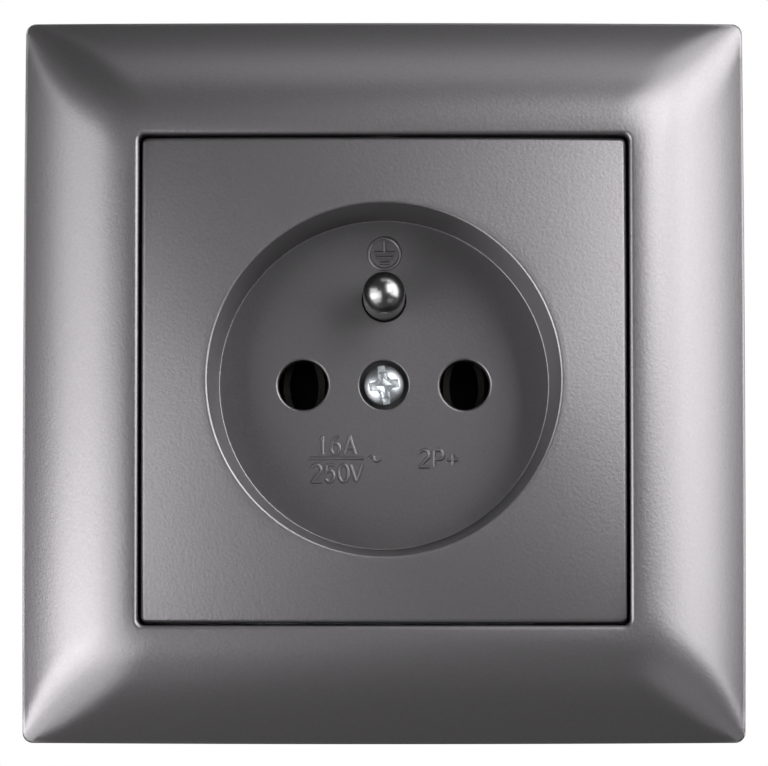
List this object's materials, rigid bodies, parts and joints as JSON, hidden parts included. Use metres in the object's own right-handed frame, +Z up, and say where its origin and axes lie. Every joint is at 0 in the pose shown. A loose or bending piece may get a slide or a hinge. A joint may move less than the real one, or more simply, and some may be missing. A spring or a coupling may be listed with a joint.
{
  "type": "earthed wall socket",
  "caption": "Flush wall socket with a crowned square cover frame, a round plug well with an earth pin, sprung contacts, screw terminals and spreading claws.",
  "frame": {"origin": "middle of the wall plane, on the back edge of the cover frame", "axes": "+Z up the wall, +X to the right seen from the front, the front faces -Y and +Y points into the wall"},
  "size_m": [0.083, 0.037, 0.083],
  "materials": {
    "lacquered_moulding": "anthracite metallic lacquer, satin",
    "black_moulding": "moulded, fine texture",
    "zinc_plated_steel": "bright zinc plate",
    "spring_bronze": "rolled strip",
    "nickel_plated_brass": "polished nickel plate"
  },
  "bodies": {
    "socket": {"cover_frame": "lacquered_moulding", "centre_plate": "lacquered_moulding", "cover_screw": "zinc_plated_steel", "cover_nut": "zinc_plated_steel", "support_plate": "zinc_plated_steel", "socket_base": "black_moulding", "line_contact": "spring_bronze", "neutral_contact": "spring_bronze", "earth_pin": "nickel_plated_brass", "earth_strap": "spring_bronze", "terminal_screws": "zinc_plated_steel", "line_clamp": "zinc_plated_steel", "neutral_clamp": "zinc_plated_steel", "earth_clamp": "zinc_plated_steel"},
    "claw_left": {"claw_left": "zinc_plated_steel"},
    "claw_screw_left": {"claw_screw_left": "zinc_plated_steel"},
    "claw_nut_left": {"claw_nut_left": "zinc_plated_steel"},
    "claw_right": {"claw_right": "zinc_plated_steel"},
    "claw_screw_right": {"claw_screw_right": "zinc_plated_steel"},
    "claw_nut_right": {"claw_nut_right": "zinc_plated_steel"}
  },
  "joints": [
    {"name": "claw_screw_left_turn", "type": "hinge", "parent": "socket", "child": "claw_screw_left", "pos_m": [-0.025, 0, 0], "axis": [0, 1, 0], "range_deg": [0, 3242]},
    {"name": "claw_nut_left_slide", "type": "slide", "parent": "socket", "child": "claw_nut_left", "axis": [0, -1, 0], "range_m": [0, 0.0045]},
    {"name": "claw_left_slide", "type": "slide", "parent": "socket", "child": "claw_left", "axis": [-0.7071, -0.7071, 0], "range_m": [0, 0.00638]},
    {"name": "claw_screw_right_turn", "type": "hinge", "parent": "socket", "child": "claw_screw_right", "pos_m": [0.025, 0, 0], "axis": [0, 1, 0], "range_deg": [0, 3242]},
    {"name": "claw_nut_right_slide", "type": "slide", "parent": "socket", "child": "claw_nut_right", "axis": [0, -1, 0], "range_m": [0, 0.0045]},
    {"name": "claw_right_slide", "type": "slide", "parent": "socket", "child": "claw_right", "axis": [0.7071, -0.7071, 0], "range_m": [0, 0.00638]}
  ],
  "couplings": [
    {"joint": "claw_screw_left_turn", "follows": "claw_nut_left_slide", "rad_per_m": 12566},
    {"joint": "claw_left_slide", "follows": "claw_nut_left_slide", "ratio": 1.4142},
    {"joint": "claw_screw_right_turn", "follows": "claw_nut_right_slide", "rad_per_m": 12566},
    {"joint": "claw_right_slide", "follows": "claw_nut_right_slide", "ratio": 1.4142}
  ]
}
